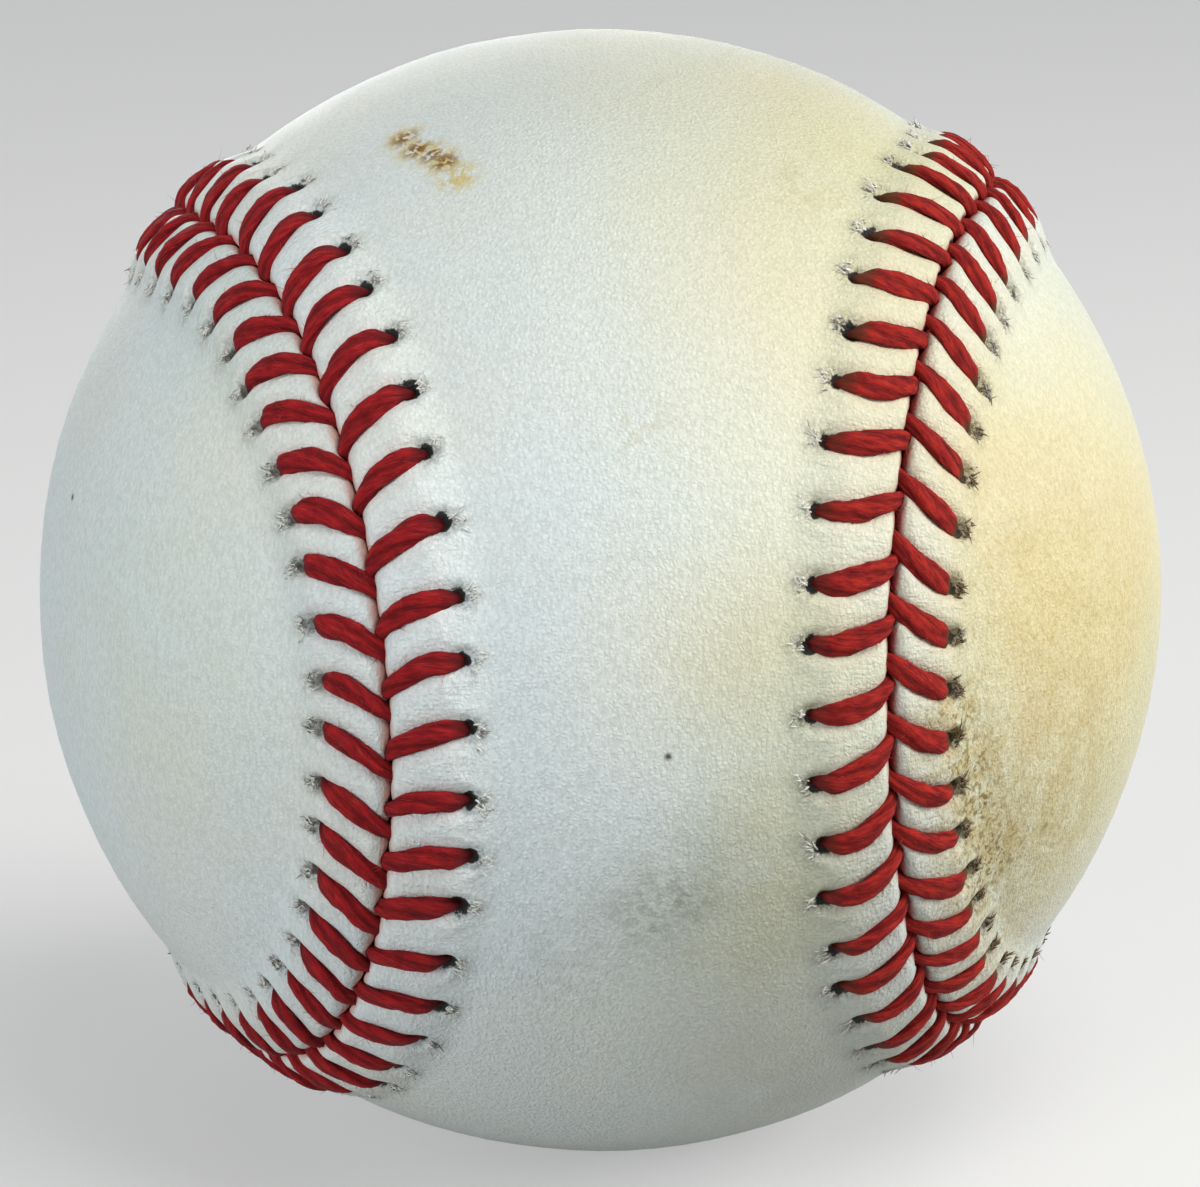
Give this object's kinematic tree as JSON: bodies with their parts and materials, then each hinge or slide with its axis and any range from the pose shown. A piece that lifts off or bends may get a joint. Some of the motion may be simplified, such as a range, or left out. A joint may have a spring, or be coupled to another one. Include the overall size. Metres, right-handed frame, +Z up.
{
  "type": "baseball",
  "caption": "Leather ball sewn from two figure-eight panels with raised red double stitching, over wound yarn and a rubber-cased cork pill, for throwing, batting and catching.",
  "frame": {"origin": "middle of the ball", "axes": "+Z up through the front panel's two lobes, -Y out through the front panel's waist, X through the back panel's two lobes"},
  "size_m": [0.0738, 0.0738, 0.0738],
  "materials": {
    "cork": "pressed cork and rubber grains, matt",
    "black_rubber": "moulded, matt",
    "red_rubber": "moulded, matt",
    "cement": "thin brushed film",
    "grey_wool": "wound wool yarn",
    "white_wool": "wound wool yarn",
    "finishing_yarn": "fine wound yarn",
    "adhesive": "dried latex film",
    "cover_leather": "white grained hide, scuffed and stained by use",
    "red_thread": "waxed twisted thread"
  },
  "bodies": {
    "root": {"cork_core": "cork", "black_rubber_cup_upper": "black_rubber", "black_rubber_cup_lower": "black_rubber", "sealing_washer": "red_rubber", "red_rubber_jacket": "red_rubber", "pill_cement_coat": "cement", "first_wool_winding": "grey_wool", "second_wool_winding": "white_wool", "third_wool_winding": "grey_wool", "finishing_yarn_winding": "finishing_yarn", "adhesive_coat_front": "adhesive", "adhesive_coat_back": "adhesive", "cover_panel_front": "cover_leather", "cover_panel_back": "cover_leather", "stitch_thread_first": "red_thread", "stitch_thread_second": "red_thread"}
  },
  "joints": []
}
